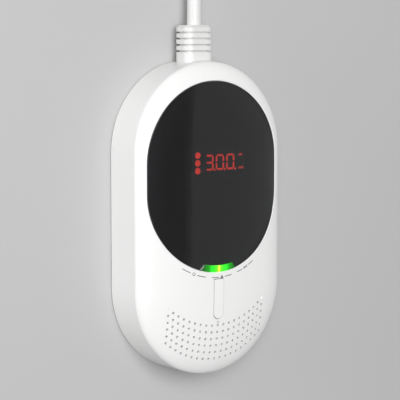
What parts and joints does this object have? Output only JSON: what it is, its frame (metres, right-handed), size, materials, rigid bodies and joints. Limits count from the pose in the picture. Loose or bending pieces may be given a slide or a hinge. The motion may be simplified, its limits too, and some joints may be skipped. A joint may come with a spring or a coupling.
{
  "type": "carbon monoxide detector",
  "caption": "Mains carbon monoxide and gas detector: stadium-shaped domed white case, smoked window with red readout, green light bar, test key, pin-hole grille and moulded cord with plug.",
  "frame": {"origin": "centre of the flat rear mounting face", "axes": "+Y towards the end where the cord leaves (up on the wall), +Z out of the domed front, +X to the right seen from the front"},
  "size_m": [0.0938, 0.251, 0.0297],
  "materials": {
    "shell_white": "glossy moulded ABS",
    "label_silver": "satin film label, blank",
    "smoked_window": "polished smoked acrylic",
    "mask_black": "black printed film",
    "light_bar": "translucent light bar lit green",
    "component_black": "moulded epoxy",
    "display_face": "black display face",
    "lit_red": "lit red segments",
    "display_dark": "unlit segments",
    "tinned_metal": "tinned",
    "board_green": "solder mask over glass-epoxy board",
    "led_white": "encapsulated LED",
    "component_steel": "drawn steel",
    "disc_brass": "satin",
    "screen_grey": "fine woven mesh",
    "ferrite": "sintered ferrite",
    "winding_yellow": "polyester winding tape",
    "capacitor_sleeve": "shrink sleeve",
    "fuse_glass": "glass tube",
    "terminal_green": "moulded",
    "cord_white": "soft PVC",
    "clamp_white": "moulded",
    "lead_brown": "PVC insulation",
    "lead_blue": "PVC insulation",
    "tie_black": "soft strap",
    "blade_brass": "plated"
  },
  "bodies": {
    "casing": {"front_cover": "shell_white", "rear_cover": "shell_white", "rating_label": "label_silver", "display_window": "smoked_window", "window_mask": "mask_black", "status_light_bar": "light_bar", "test_switch": "component_black", "display_module": "display_face", "lit_segments": "lit_red", "dark_segments": "display_dark", "level_dots": "lit_red", "display_pins": "tinned_metal", "display_board": "board_green", "main_board": "board_green", "board_link": "component_black", "status_leds": "led_white", "controller_chip": "component_black", "board_parts": "component_black", "co_cell_can": "component_steel", "co_cell_cap": "component_black", "sounder_case": "component_black", "sounder_disc": "disc_brass", "gas_sensor_base": "component_black", "gas_sensor_cap": "component_steel", "insect_screen": "screen_grey", "transformer_core": "ferrite", "transformer_coil": "winding_yellow", "storage_capacitor": "capacitor_sleeve", "inlet_fuse": "fuse_glass", "terminal_block": "terminal_green", "case_screws": "component_steel", "display_board_screws": "component_steel", "main_board_screws": "component_steel", "cord_boot": "cord_white", "cord_inner_end": "cord_white", "cord_clamp": "clamp_white", "clamp_screws": "component_steel", "live_lead": "lead_brown", "neutral_lead": "lead_blue", "cord_lead": "cord_white", "cord_tail": "cord_white", "cord_coil": "cord_white", "cord_tie": "tie_black", "plug_body": "cord_white", "plug_blades": "blade_brass"},
    "test_button": {"test_button": "shell_white"},
    "switch_plunger": {"switch_plunger": "component_black"}
  },
  "joints": [
    {"name": "test_button_press", "type": "hinge", "parent": "casing", "child": "test_button", "pos_m": [0, -0.0252, 0.0182], "axis": [1, 0, 0], "range_deg": [0, 1.6], "stiffness_Nm_per_rad": 0.4},
    {"name": "switch_plunger_travel", "type": "slide", "parent": "casing", "child": "switch_plunger", "axis": [0, 0, -1], "range_m": [0, 0.00028]}
  ],
  "couplings": [
    {"joint": "switch_plunger_travel", "follows": "test_button_press", "m_per_rad": 0.0093}
  ]
}
